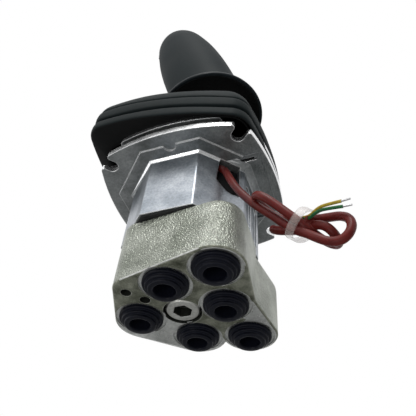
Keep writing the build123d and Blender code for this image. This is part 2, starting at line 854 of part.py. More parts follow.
with BuildPart() as grip_body:
    for station, semi_x, semi_y in grip_sections:
        with BuildSketch(grip_plane(station)):
            Ellipse(semi_x, semi_y)
    loft()
    # Bore of the lever rod
    with BuildSketch(Plane.XY.offset(rod_top)):
        Circle(rod_neck_radius)
    extrude(amount=-rod_top, mode=Mode.SUBTRACT)
    # Seat of the bezel's rim, bore of the bezel and the chamber of the switch behind it
    with BuildSketch(button_plane.offset(-bezel_proud)):
        Circle(bezel_radius)
    extrude(amount=2 * bezel_depth, mode=Mode.SUBTRACT)
    with BuildSketch(button_plane.offset(bezel_proud - bezel_depth)):
        Circle(bezel_radius - bezel_rim)
    extrude(amount=2 * bezel_depth, mode=Mode.SUBTRACT)
    with BuildSketch(button_plane.offset(switch_front - switch_size[0])):
        Rectangle(switch_size[1], switch_size[2])
    extrude(amount=switch_size[0] + switch_clearance, mode=Mode.SUBTRACT)

grip_screw_planes = [
    Plane(origin=grip_plane(*place).origin, x_dir=(1, 0, 0), z_dir=(0, -1, 0))
    for place in grip_screws_at
]
with BuildPart() as grip_screws:
    for plane in grip_screw_planes:
        with BuildSketch(plane):
            Circle(grip_screw_radius)
        extrude(amount=grip_screw_floor, both=True)
        with BuildSketch(plane.offset(grip_screw_floor)):
            Circle(grip_screw_head)
        extrude(amount=grip_screw_head_height)
save(grip_screws.part, "grip_screws")

for name, keep in (("grip_right_shell", Keep.TOP), ("grip_left_shell", Keep.BOTTOM)):
    with BuildPart() as grip_shell:
        add(grip_body.part)
        split(bisect_by=Plane.XZ, keep=keep)
        for plane in grip_screw_planes:
            with BuildSketch(plane):
                Circle(grip_screw_radius)
            extrude(amount=grip_screw_floor, both=True, mode=Mode.SUBTRACT)
            with BuildSketch(plane.offset(grip_screw_floor)):
                Circle(grip_screw_head)
            extrude(amount=4 * grip_screw_floor, mode=Mode.SUBTRACT)
    save(grip_shell.part, name)

# ---------------------------------------------------------------- push button
with BuildPart() as button_bezel:
    with BuildSketch(button_plane.offset(bezel_proud - bezel_depth)):
        Circle(bezel_radius - bezel_rim)
    extrude(amount=bezel_depth)
    with BuildSketch(button_plane.offset(-bezel_proud)):
        Circle(bezel_radius)
    extrude(amount=2 * bezel_proud)
    with BuildSketch(button_plane.offset(bezel_proud - bezel_depth)):
        Circle(button_radius + button_gap)
    extrude(amount=bezel_depth, mode=Mode.SUBTRACT)
save(button_bezel.part, "button_bezel")

with BuildPart() as push_button:
    with BuildSketch(button_plane.offset(bezel_proud + button_proud - button_skirt)):
        Circle(button_radius)
    extrude(amount=button_skirt)
    button_axis = Axis(button_plane.origin, button_plane.z_dir)
    fillet(push_button.faces().sort_by(button_axis)[-1].edges(), 1.2)
save(push_button.part, "push_button")

with BuildPart() as microswitch:
    with BuildSketch(button_plane.offset(switch_front)):
        Rectangle(switch_size[1], switch_size[2])
    extrude(amount=-switch_size[0])
    with BuildSketch(button_plane.offset(switch_front)):
        Circle(switch_actuator[0])
    extrude(amount=switch_actuator[1])
save(microswitch.part, "microswitch")

# ---------------------------------------------------------------- cable
cable_route = [
    (21.2, -20.2, -3.6),
    (24.8, -23.4, -9.5),
    (27.8, -25.2, -18.5),
    (33.0, -26.2, -31.0),
    (41.3, -26.8, -44.0),
    (50.5, -28.0, -53.5),
]


def corner_radii(points, share=0.45):
    """Largest tangent arc of each corner of a route: share of its shorter run."""
    radii = []
    for before, here, after in zip(points, points[1:], points[2:]):
        run_in = Vector(*here) - Vector(*before)
        run_out = Vector(*after) - Vector(*here)
        half_turn = math.radians(run_in.get_angle(run_out)) / 2
        radii.append(share * min(run_in.length, run_out.length) / math.tan(half_turn))
    return radii


cable_radii = corner_radii(cable_route)
print("cable radii", [round(r, 1) for r in cable_radii])
cable_start = Vector(*cable_route[0])
cable_end = Vector(*cable_route[-1])
start_direction = (Vector(*cable_route[1]) - cable_start).normalized()
end_direction = (cable_end - Vector(*cable_route[-2])).normalized()

with BuildPart() as control_cable:
    with BuildLine() as cable_path:
        FilletPolyline(*cable_route, radius=cable_radii)
    with BuildSketch(Plane(origin=cable_start, z_dir=start_direction)):
        Circle(cable_radius)
    sweep(path=cable_path.wire())
save(control_cable.part, "control_cable")
cable_length = cable_path.wire().length
cable_section = math.pi * cable_radius**2
print(
    "cable tube length",
    round(cable_length, 1),
    "volume over section times length",
    round(control_cable.part.volume / (cable_section * cable_length), 4),
)

# ---------------------------------------------------------------- cable grommet
with BuildPart() as cable_grommet:
    with BuildSketch(opening_plane.offset(-opening_depth)):
        with BuildLine():
            Polyline(
                (-opening_left + 1, -neck_flare / 2),
                (-opening_left, -opening_height + opening_slope),
                (opening_left, -opening_height + opening_slope / 4),
                (opening_right / 2, -opening_height),
                (opening_right, -opening_height),
                (opening_right, -neck_flare / 2),
                close=True,
            )
        make_face()
    extrude(amount=grommet_depth)
    with BuildSketch(Plane(origin=cable_start, z_dir=start_direction)):
        Circle(cable_radius)
    extrude(amount=20, both=True, mode=Mode.SUBTRACT)
save(cable_grommet.part, "cable_grommet")

# ---------------------------------------------------------------- hank, tie and wires
across = Vector(0, -1, 0).cross(end_direction).normalized()
hank_origin = cable_end + across * hank_entry_offset
hank_plane = Plane(origin=hank_origin, x_dir=across, z_dir=end_direction)

with BuildPart() as cable_hank:
    with BuildSketch(hank_plane):
        RectangleRounded(hank_width, hank_thickness, hank_edge_radius)
    extrude(amount=hank_length)
save(cable_hank.part, "cable_hank")

with BuildPart() as cable_tie:
    with BuildSketch(hank_plane.offset(tie_position)):
        RectangleRounded(
            hank_width + 2 * tie_thickness,
            hank_thickness + 2 * tie_thickness,
            hank_edge_radius + tie_thickness,
        )
        RectangleRounded(hank_width, hank_thickness, hank_edge_radius, mode=Mode.SUBTRACT)
    extrude(amount=tie_width)
    with BuildSketch(hank_plane.offset(tie_position)):
        with Locations((0, hank_thickness / 2 + tie_thickness + 1.5)):
            Rectangle(6.5, 3.2)
    extrude(amount=tie_width)
save(cable_tie.part, "cable_tie")

wire_offset = hank_width / 2 + wire_radius
for name, side in (("wire_yellow", 1), ("wire_green", -1)):
    with BuildPart() as wire:
        with BuildSketch(hank_plane.offset(tie_position + tie_width)):
            with Locations((wire_offset, side * 1.2)):
                Circle(wire_radius)
        extrude(amount=wire_length)
    save(wire.part, name)
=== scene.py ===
import math

import bmesh
import bpy
import numpy as np
from mathutils import Matrix, Vector


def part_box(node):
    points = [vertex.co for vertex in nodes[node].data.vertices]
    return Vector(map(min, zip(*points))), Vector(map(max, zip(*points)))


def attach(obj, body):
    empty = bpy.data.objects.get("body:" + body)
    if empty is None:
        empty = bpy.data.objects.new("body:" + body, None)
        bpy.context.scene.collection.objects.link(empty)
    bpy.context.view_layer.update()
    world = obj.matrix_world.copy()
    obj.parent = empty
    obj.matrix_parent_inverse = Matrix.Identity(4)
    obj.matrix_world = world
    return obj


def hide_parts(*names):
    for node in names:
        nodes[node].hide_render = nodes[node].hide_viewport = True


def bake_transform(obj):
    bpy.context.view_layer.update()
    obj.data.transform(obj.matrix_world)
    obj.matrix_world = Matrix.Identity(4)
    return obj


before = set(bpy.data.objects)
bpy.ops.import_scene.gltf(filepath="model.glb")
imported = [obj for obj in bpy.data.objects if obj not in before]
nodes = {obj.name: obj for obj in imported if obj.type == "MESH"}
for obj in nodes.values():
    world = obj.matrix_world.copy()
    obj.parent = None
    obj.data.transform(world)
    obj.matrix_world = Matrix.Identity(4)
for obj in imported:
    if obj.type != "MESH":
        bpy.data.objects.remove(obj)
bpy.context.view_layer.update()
MM = 0.001


# ---------------------------------------------------------------- camera, before everything else
def camera_axes(azimuth, elevation, roll):
    """The camera's right, up and backward directions."""
    a, e, r = (math.radians(v) for v in (azimuth, elevation, roll))
    back = Vector((math.sin(a) * math.cos(e), -math.cos(a) * math.cos(e), math.sin(e)))
    level = (-back).cross(Vector((0, 0, 1))).normalized()
    above = level.cross(-back)
    right = level * math.cos(r) + above * math.sin(r)
    up = -level * math.sin(r) + above * math.cos(r)
    return right, up, back


# The view, in degrees and millimetres: below the flange, to the right of the front
AZIMUTH, ELEVATION, ROLL = 22.83, -46.49, 5.225
AIM_HEIGHT, AIM_RIGHT, DISTANCE = -6.51, 7.16, 278.98
LENS, SENSOR = 44.04, 36.0

right, up, back = camera_axes(AZIMUTH, ELEVATION, ROLL)
look = Vector((0, 0, AIM_HEIGHT)) * MM + right * AIM_RIGHT * MM
place = look + back * DISTANCE * MM
camera = bpy.data.objects.new("camera", bpy.data.cameras.new("camera"))
bpy.context.scene.collection.objects.link(camera)
camera.matrix_world = Matrix.Translation(place) @ Matrix((right, up, back)).transposed().to_4x4()
camera.data.lens = LENS
camera.data.sensor_width = SENSOR
camera.data.clip_start = 0.01
camera.data.dof.use_dof = False
bpy.context.scene.camera = camera


# ---------------------------------------------------------------- materials
class Nodes:
    """A small helper that writes a procedural material."""

    def __init__(self, name):
        self.material = bpy.data.materials.new(name)
        self.material.use_nodes = True
        self.tree = self.material.node_tree
        self.tree.nodes.clear()
        self.out = self.add("ShaderNodeOutputMaterial")
        self.shader = self.add("ShaderNodeBsdfPrincipled")
        self.link(self.shader, "BSDF", self.out, "Surface")
        self.coordinates = self.add("ShaderNodeTexCoord")

    def add(self, kind, **values):
        node = self.tree.nodes.new(kind)
        for key, value in values.items():
            setattr(node, key, value)
        return node

    def link(self, a, out, b, into):
        self.tree.links.new(a.outputs[out], b.inputs[into])

    def noise(self, scale, detail):
        node = self.add("ShaderNodeTexNoise")
        node.inputs["Scale"].default_value = scale
        node.inputs["Detail"].default_value = detail
        node.inputs["Roughness"].default_value = 0.55
        self.link(self.coordinates, "Object", node, "Vector")
        return node

    def voronoi(self, scale):
        node = self.add("ShaderNodeTexVoronoi")
        node.inputs["Scale"].default_value = scale
        self.link(self.coordinates, "Object", node, "Vector")
        return node

    def ramp(self, source, out, stops):
        """Stops of (position, colour); a single number in the colour stands for a grey."""
        node = self.add("ShaderNodeValToRGB")
        ramp = node.color_ramp
        while len(ramp.elements) < len(stops):
            ramp.elements.new(0.5)
        for element, (position, color) in zip(ramp.elements, stops):
            element.position = position
            element.color = (*color, 1.0) if len(color) == 3 else (color[0],) * 3 + (1.0,)
        self.link(source, out, node, "Fac")
        return node

    def mix(self, a, b, factor, blend="MIX"):
        """Two colours mixed; each input is a plain value or a pair of a node and its output."""
        node = self.add("ShaderNodeMix", data_type="RGBA", blend_type=blend)
        for socket, value in ((0, factor), (6, a), (7, b)):
            if isinstance(value, tuple) and isinstance(value[0], bpy.types.Node):
                self.tree.links.new(value[0].outputs[value[1]], node.inputs[socket])
            elif socket == 0:
                node.inputs[0].default_value = value
            else:
                node.inputs[socket].default_value = (*value, 1.0)
        return node

    def edges(self, radius):
        """White along sharp edges, the mask for a painted edge highlight: how far a bevelled normal
        leaves the true one.
        """
        dark_above, white_below = 0.9996, 0.75
        bevel = self.add("ShaderNodeBevel", samples=6)
        bevel.inputs["Radius"].default_value = radius
        true = self.add("ShaderNodeNewGeometry")
        dot = self.add("ShaderNodeVectorMath", operation="DOT_PRODUCT")
        self.link(bevel, "Normal", dot, 0)
        self.link(true, "Normal", dot, 1)
        spread = self.add("ShaderNodeMapRange")
        spread.inputs["From Min"].default_value = dark_above
        spread.inputs["From Max"].default_value = white_below
        self.link(dot, "Value", spread, "Value")
        return bevel, spread

    def bump(self, sources, bevel):
        """Several bumps in a row, over bevelled edges: (node, output, strength, distance in metres)."""
        last = bevel
        for source, out, strength, distance in sources:
            node = self.add("ShaderNodeBump")
            node.inputs["Strength"].default_value = strength
            node.inputs["Distance"].default_value = distance
            self.link(source, out, node, "Height")
            self.link(last, "Normal", node, "Normal")
            last = node
        self.link(last, "Normal", self.shader, "Normal")

    def set(self, **values):
        """Each value is a number or a pair of a node and its output."""
        for key, value in values.items():
            socket = self.shader.inputs[key.replace("_", " ")]
            if isinstance(value, tuple):
                self.tree.links.new(value[0].outputs[value[1]], socket)
            else:
                socket.default_value = value


def metal(name, dark, light, edge, rough, scale, grain, bump, metallic, edge_radius, sparkle=0.0):
    """Cloudy metal with fine grain and a painted highlight along sharp edges; sparkle adds a cast
    surface's facets.
    """
    n = Nodes(name)
    cloud = n.noise(scale, 4.0)
    base = n.ramp(cloud, "Fac", ((0.32, dark), (0.68, light)))
    fine = n.noise(grain, 2.0)
    speck = n.ramp(fine, "Fac", ((0.3, (0.82,)), (0.72, (1.12,))))
    color = n.mix((base, "Color"), (speck, "Color"), 1.0, "MULTIPLY")
    bevel, edges = n.edges(edge_radius)
    # Painted highlight: the edge colour laid along sharp edges
    with_painted_highlight = n.mix((color, 2), edge, (edges, "Result"))
    n.set(Base_Color=(with_painted_highlight, 2), Metallic=metallic)
    r = n.ramp(cloud, "Fac", ((0.25, (rough[0],)), (0.75, (rough[1],))))
    n.set(Roughness=(r, "Color"))
    if sparkle:
        cells = n.voronoi(grain * 1.4)
        n.bump([(cells, "Distance", sparkle, 0.0004), (fine, "Fac", bump, 0.0003)], bevel)
    else:
        n.bump([(fine, "Fac", bump, 0.0002)], bevel)
    return n.material


def soft(name, dark, light, rough, grain, bump, scale, edge=None, edge_radius=0.0008, gloss=0.2):
    """Rubber or plastic with a fine grain and a painted highlight along sharp edges."""
    n = Nodes(name)
    cloud = n.noise(scale, 4.0)
    base = n.ramp(cloud, "Fac", ((0.3, dark), (0.72, light)))
    fine = n.noise(grain, 3.0)
    speck = n.ramp(fine, "Fac", ((0.35, (0.85,)), (0.7, (1.12,))))
    color = n.mix((base, "Color"), (speck, "Color"), 1.0, "MULTIPLY")
    bevel, edges = n.edges(edge_radius)
    if edge is None:
        edge = tuple(min(1.0, 1.35 * c) for c in light)
    # Painted highlight: the edge colour laid along sharp edges
    edge_highlighted = n.mix((color, 2), edge, (edges, "Result"))
    r = n.ramp(cloud, "Fac", ((0.2, (rough[0],)), (0.8, (rough[1],))))
    n.set(Base_Color=(edge_highlighted, 2), Roughness=(r, "Color"))
    n.shader.inputs["Specular IOR Level"].default_value = gloss
    n.bump([(fine, "Fac", bump, 0.0002), (cloud, "Fac", 0.05, 0.002)], bevel)
    return n.material


# Each look's edge colour is a painted highlight along its sharp edges
LOOKS = {
    "cast": metal(
        "cast_body", dark=(0.155, 0.17, 0.14), light=(0.37, 0.385, 0.345),
        edge=(0.68, 0.69, 0.65), rough=(0.3, 0.44), scale=60.0, grain=900.0, bump=1.0,
        metallic=0.85, edge_radius=0.0007, sparkle=1.0),
    "port_face": metal(
        "port_face", dark=(0.085, 0.092, 0.062), light=(0.3, 0.31, 0.25), edge=(0.6, 0.61, 0.56),
        rough=(0.36, 0.6), scale=170.0, grain=900.0, bump=0.8, metallic=0.7, edge_radius=0.0006,
        sparkle=0.6),
    # Painted shade, near black, in the counterbore, the drillings, the gallery plugs, the bolt's socket
    # and under the rails' lips
    "recess_shade": metal(
        "recess_painted_shade", dark=(0.012, 0.013, 0.011), light=(0.032, 0.034, 0.028),
        edge=(0.12, 0.12, 0.11), rough=(0.5, 0.7), scale=200.0, grain=900.0, bump=0.3,
        metallic=0.4, edge_radius=0.0003),
    "machined": metal(
        "machined_ring", dark=(0.5, 0.51, 0.49), light=(0.66, 0.67, 0.65), edge=(0.8, 0.8, 0.79),
        rough=(0.24, 0.36), scale=90.0, grain=700.0, bump=0.12, metallic=0.9, edge_radius=0.0004),
    "housing": metal(
        "housing_skin", dark=(0.16, 0.17, 0.17), light=(0.38, 0.395, 0.4),
        edge=(0.78, 0.79, 0.8), rough=(0.32, 0.5), scale=48.0, grain=700.0, bump=0.4,
        metallic=0.85, edge_radius=0.0008, sparkle=0.2),
    "neck": metal(
        "neck_faces", dark=(0.21, 0.235, 0.265), light=(0.39, 0.415, 0.45),
        edge=(0.85, 0.86, 0.87), rough=(0.3, 0.44), scale=75.0, grain=900.0, bump=0.3,
        metallic=0.88, edge_radius=0.001, sparkle=0.1),
    # Painted highlight for the neck's front chamfer, the rails' lips and the flange's rim
    "with_painted_highlight": metal(
        "rim_and_chamfer_highlight", dark=(0.7, 0.71, 0.72), light=(0.82, 0.83, 0.84),
        edge=(0.93, 0.93, 0.93), rough=(0.2, 0.3), scale=120.0, grain=800.0, bump=0.12,
        metallic=0.9, edge_radius=0.0006),
    "steel": metal(
        "zinc_steel", dark=(0.5, 0.5, 0.47), light=(0.66, 0.66, 0.62), edge=(0.82, 0.82, 0.8),
        rough=(0.25, 0.38), scale=80.0, grain=600.0, bump=0.15, metallic=0.95,
        edge_radius=0.0004),
    "hard": metal(
        "ground_steel", dark=(0.4, 0.4, 0.41), light=(0.52, 0.52, 0.53), edge=(0.7, 0.7, 0.7),
        rough=(0.22, 0.32), scale=90.0, grain=500.0, bump=0.1, metallic=1.0, edge_radius=0.0004),
    "spring": metal(
        "spring_steel", dark=(0.24, 0.24, 0.25), light=(0.34, 0.34, 0.35), edge=(0.5, 0.5, 0.5),
        rough=(0.3, 0.4), scale=90.0, grain=500.0, bump=0.1, metallic=1.0, edge_radius=0.0003),
    "brass": metal(
        "turned_brass", dark=(0.56, 0.42, 0.2), light=(0.72, 0.56, 0.3), edge=(0.85, 0.72, 0.45),
        rough=(0.25, 0.36), scale=80.0, grain=500.0, bump=0.1, metallic=1.0, edge_radius=0.0004),
    "tinned": metal(
        "tinned_strands", dark=(0.4, 0.4, 0.41), light=(0.62, 0.62, 0.63),
        edge=(0.75, 0.75, 0.75), rough=(0.35, 0.5), scale=900.0, grain=2600.0, bump=0.4,
        metallic=0.9, edge_radius=0.0001),
    "plug": soft(
        "plug_plastic", dark=(0.0035, 0.004, 0.0075), light=(0.006, 0.007, 0.013),
        rough=(0.28, 0.38), grain=700.0, bump=0.06, scale=60.0, edge=(0.03, 0.034, 0.05),
        edge_radius=0.0006, gloss=0.12),
    "boot": soft(
        "boot_rubber", dark=(0.0042, 0.0075, 0.0082), light=(0.009, 0.0138, 0.0148),
        rough=(0.55, 0.7), grain=420.0, bump=0.16, scale=22.0, edge=(0.04, 0.05, 0.05),
        edge_radius=0.0009, gloss=0.08),
    "grip": soft(
        "grip_plastic", dark=(0.0042, 0.0075, 0.009), light=(0.0072, 0.0118, 0.0138),
        rough=(0.5, 0.62), grain=900.0, bump=0.2, scale=18.0, edge=(0.04, 0.048, 0.052),
        edge_radius=0.0008, gloss=0.07),
    "rest": soft(
        "rest_plastic", dark=(0.0055, 0.0085, 0.0105), light=(0.01, 0.0145, 0.017),
        rough=(0.42, 0.52), grain=900.0, bump=0.14, scale=20.0, edge=(0.05, 0.06, 0.075),
        edge_radius=0.0012, gloss=0.12),
    # Painted shade, near black, under the boot and the hand rest and in the boot's hollow
    "inside": soft(
        "rubber_painted_shade", dark=(0.0018, 0.002, 0.0022), light=(0.0035, 0.004, 0.0042),
        rough=(0.75, 0.9), grain=420.0, bump=0.1, scale=30.0, edge=(0.01, 0.011, 0.011)),
    "button": soft(
        "button_plastic", dark=(0.008, 0.0085, 0.0095), light=(0.014, 0.015, 0.017),
        rough=(0.2, 0.3), grain=600.0, bump=0.05, scale=60.0),
    "dark": soft(
        "dark_rubber", dark=(0.005, 0.005, 0.006), light=(0.011, 0.011, 0.012),
        rough=(0.6, 0.75), grain=500.0, bump=0.15, scale=40.0),
    "gasket": soft(
        "gasket_sheet", dark=(0.02, 0.021, 0.021), light=(0.04, 0.041, 0.04), rough=(0.6, 0.8),
        grain=900.0, bump=0.3, scale=120.0),
    "cable": soft(
        "cable_sheath", dark=(0.085, 0.007, 0.006), light=(0.15, 0.015, 0.0115),
        rough=(0.36, 0.5), grain=650.0, bump=0.12, scale=70.0, edge=(0.2, 0.035, 0.028),
        gloss=0.2),
    "yellow": soft(
        "yellow_insulation", dark=(0.34, 0.235, 0.02), light=(0.5, 0.36, 0.045),
        rough=(0.3, 0.4), grain=900.0, bump=0.06, scale=200.0),
    "green": soft(
        "green_insulation", dark=(0.012, 0.085, 0.03), light=(0.024, 0.15, 0.05),
        rough=(0.3, 0.4), grain=900.0, bump=0.06, scale=200.0),
}


def clear_nylon():
    n = Nodes("tie_nylon")
    cloud = n.noise(140.0, 3.0)
    base = n.ramp(cloud, "Fac", ((0.3, (0.66, 0.56, 0.53)), (0.7, (0.82, 0.76, 0.72))))
    n.set(Base_Color=(base, "Color"), Roughness=0.3, Transmission_Weight=0.4, IOR=1.2, Alpha=0.3)
    bevel, _ = n.edges(0.0003)
    n.bump([(cloud, "Fac", 0.1, 0.0003)], bevel)
    return n.material


def pale_floor():
    n = Nodes("pale_floor")
    cloud = n.noise(3.0, 2.0)
    tone = n.ramp(cloud, "Fac", ((0.3, (0.83, 0.83, 0.82)), (0.7, (0.88, 0.88, 0.87))))
    n.set(Base_Color=(tone, "Color"), Roughness=0.8)
    return n.material


LOOKS["tie"] = clear_nylon()
LOOKS["floor"] = pale_floor()


def dress(obj, body, slot, *replaced):
    """Hangs a piece on the body that it rides on and hides the CAD nodes that it stands for; slot is
    not used.
    """
    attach(obj, body)
    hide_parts(*replaced)


def paint(obj, *names):
    obj.data.materials.clear()
    for name in names:
        obj.data.materials.append(LOOKS[name])


# ---------------------------------------------------------------- mesh helpers
def new_mesh(name, verts, faces, material, smooth=True):
    data = bpy.data.meshes.new(name)
    data.from_pydata([tuple(v) for v in verts], [], faces)
    data.validate()
    data.update()
    obj = bpy.data.objects.new(name, data)
    bpy.context.scene.collection.objects.link(obj)
    paint(obj, material)
    if smooth:
        data.polygons.foreach_set("use_smooth", [True] * len(data.polygons))
    return obj


def tidy(obj, angle=35.0):
    """Outward normals, smooth shading, and sharp edges above an angle."""
    work = bmesh.new()
    work.from_mesh(obj.data)
    bmesh.ops.remove_doubles(work, verts=work.verts, dist=1e-6)
    bmesh.ops.recalc_face_normals(work, faces=work.faces)
    for edge in work.edges:
        turned = len(edge.link_faces) == 2 and edge.calc_face_angle(0.0) > math.radians(angle)
        edge.smooth = not turned
    work.to_mesh(obj.data)
    work.free()
    obj.data.update()
    return obj


def ringed(name, rings, material, capped=False):
    """A surface through rings of equal count: the last joins the first, or both ends are capped."""
    count = len(rings[0])
    verts = [p for ring in rings for p in ring]
    faces = []
    last = len(rings) - 1 if capped else len(rings)
    for i in range(last):
        j = (i + 1) % len(rings)
        for k in range(count):
            m = (k + 1) % count
            faces.append((i * count + k, i * count + m, j * count + m, j * count + k))
    if capped:
        faces.append(tuple(range(count)))
        faces.append(tuple(range((len(rings) - 1) * count, len(rings) * count)))
    return new_mesh(name, verts, faces, material)


def catmull(a, b, c, d, t):
    """The Catmull-Rom curve from b to c, with its neighbours a and d."""
    return 0.5 * ((2 * b) + (c - a) * t + (2 * a - 5 * b + 4 * c - d) * t * t
                  + (3 * b - a - 3 * c + d) * t**3)


def smooth_line(points, steps):
    """Catmull-Rom through an open profile of tuples."""
    pts = [np.array(p, float) for p in points]
    pts = [2 * pts[0] - pts[1]] + pts + [2 * pts[-1] - pts[-2]]
    out = []
    for a, b, c, d in zip(pts, pts[1:], pts[2:], pts[3:]):
        out += [catmull(a, b, c, d, i / steps) for i in range(steps)]
    out.append(pts[-2])
    return out


def turned_rings(profile, x, y):
    """Rings of a turned piece round a vertical axis, from (radius, height) in millimetres."""
    count = 72
    turns = [2 * math.pi * k / count for k in range(count)]
    return [
        [((x + radius * math.cos(a)) * MM, (y + radius * math.sin(a)) * MM, height * MM) for a in turns]
        for radius, height in profile
    ]


def bowed_ring(half, squareness, corner, height):
    """A square with bowed sides and rounded corners, in millimetres, the same count each ring."""
    count = 24
    edge = squareness * half
    drop = max(half - edge, 0.05)
    radius = (edge * edge + drop * drop) / (2 * drop)
    a = half - radius
    q = (a + math.sqrt(2 * (radius - corner) ** 2 - a * a)) / 2
    turn = math.atan2(q, q - a)
    quarter = []
    for k in range(2 * count):
        t = -turn + 2 * turn * (k + 0.5) / (2 * count)
        quarter.append((a + radius * math.cos(t), radius * math.sin(t)))
    for k in range(count):
        t = turn + (math.pi / 2 - 2 * turn) * (k + 0.5) / count
        quarter.append((q + corner * math.cos(t), q + corner * math.sin(t)))
    ring = []
    for c, w in ((1, 0), (0, 1), (-1, 0), (0, -1)):
        ring += [(x * c - y * w, x * w + y * c, height) for x, y in quarter]
    return ring


def combine(obj, other, operation):
    """A boolean applied at once; the other object goes."""
    modifier = obj.modifiers.new("cut", "BOOLEAN")
    modifier.operation = operation
    modifier.solver = "EXACT"
    modifier.object = other
    depsgraph = bpy.context.evaluated_depsgraph_get()
    done = bpy.data.meshes.new_from_object(obj.evaluated_get(depsgraph))
    obj.modifiers.remove(modifier)
    obj.data = done
    bpy.data.objects.remove(other)


def cut(obj, cutter):
    combine(obj, cutter, "DIFFERENCE")


def join(obj, other):
    combine(obj, other, "UNION")


def rod(name, a, b, radius, material, count=48):
    """A plain round bar between two points in millimetres."""
    a, b = Vector(a), Vector(b)
    along = (b - a).normalized()
    side = along.orthogonal().normalized()
    other = along.cross(side)
    rings = []
    for end in (a, b):
        rings.append([
            tuple((end + (side * math.cos(t) + other * math.sin(t)) * radius) * MM)
            for t in (2 * math.pi * k / count for k in range(count))
        ])
    return ringed(name, rings, material, capped=True)


# ---------------------------------------------------------------- valve body, housing and hidden metal
def face_materials(obj, names, choose):
    """One look for each face, chosen from its middle in millimetres and its normal."""
    paint(obj, *names)
    mesh = obj.data
    world = obj.matrix_world
    turn = world.to_3x3()
    index = [choose(world @ p.center / MM, (turn @ p.normal).normalized()) for p in mesh.polygons]
    mesh.polygons.foreach_set("material_index", index)
    mesh.update()


BODY_BOTTOM, SPOT_FACE, BODY_TOP = -75.0, -74.2, -40.6
SPOT_RADIUS, PORT_BORE, COUNTERBORE, BOLT_BORE, SPOOL_BORE, DRILL = 11.75, 5.9, 8.9, 5.25, 4.03, 2.4
SOCKET_RADIUS = 4.64
DRILLINGS = ((-19.1, -19.6), (-13.0, -12.6))
PORTS = [(20.5, 0.0), (0.0, 20.5), (-20.5, 0.0), (0.0, -20.5), (24.2, -25.5), (24.2, 25.5)]


def nearest(c, places):
    """How far the nearest place is."""
    return min(math.hypot(c.x - x, c.y - y) for x, y in places)


def body_choice(c, n):
    """0 cast, 1 port face, 2 machined ring round a port, 3 painted shade in a recess."""
    # The counterbore and the drillings get painted shade
    recess = math.hypot(c.x, c.y) < COUNTERBORE + 0.05 or nearest(c, DRILLINGS) < DRILL + 0.05
    if recess and BODY_BOTTOM + 0.05 < c.z < -61.0:
        return 3
    if nearest(c, PORTS) < SPOT_RADIUS + 0.15 and c.z < -73.5:
        return 2
    faces_down = c.z < -60 and n.z < -0.3
    return 1 if c.z < SPOT_FACE or faces_down else 0


def housing_choice(c, n):
    """0 flange skin, 1 neck, 2 painted highlight on the front chamfer, the lips and the rim, 3 painted
    shade under the rails' lips.
    """
    across_flats = max(abs(c.x), abs(c.y), (abs(c.x) + abs(c.y)) / math.sqrt(2))
    slope = abs(n.z + math.sqrt(0.5)) < 0.12
    neck_chamfer = slope and -2.2 < c.z < 1.6 and across_flats < 37
    # The chamfer gets the painted highlight only at the front
    if neck_chamfer:
        return 2 if c.y < -20 else 0
    # Painted shade on the wall under each rail's lip
    under_lip = 3.7 < c.z < 8.25
    if under_lip and abs(n.z) < 0.5:
        return 3
    if c.z < -1.5 and abs(n.z) < 0.5:
        return 1
    # Painted highlight on the lips' and the rim's sides
    lip = c.z > 7.0 and abs(n.z) < 0.6
    rim = 0.0 <= c.z <= 3.5 and abs(n.z) < 0.4 and math.hypot(c.x, c.y) > 40
    return 2 if lip or rim else 0


# The valve body: hulls of the bosses' circles, drawn in towards the top of the front
SIDES = [((-16.0, -19.4), 9.0), ((-20.8, 3.6), 13.4), ((0.0, 20.5), 13.9), ((20.5, 0.0), 13.3)]
FRONT_LOW, FRONT_HIGH = ((24.2, -25.5), 13.2), ((22.4, -20.1), 12.0)


def hull_ring(circles, inset, height):
    """The outline of the hull of some circles, its points found by direction."""
    count = 160
    ring = []
    for k in range(count):
        a = 2 * math.pi * (k + 0.5) / count
        n = (math.cos(a), math.sin(a))
        (x, y), r = max(circles, key=lambda c: c[0][0] * n[0] + c[0][1] * n[1] + c[1])
        ring.append(((x + (r - inset) * n[0]) * MM, (y + (r - inset) * n[1]) * MM, height * MM))
    return ring


def between(a, b, t):
    """The circle a share t of the way from one to the other."""
    (ax, ay), ar = a
    (bx, by), br = b
    return ((ax + (bx - ax) * t, ay + (by - ay) * t), ar + (br - ar) * t)


def bored(obj, x, y, radius, low, high):
    """An upright round hole."""
    cut(obj, rod("cutter", (x, y, low), (x, y, high), radius, "machined", 72))


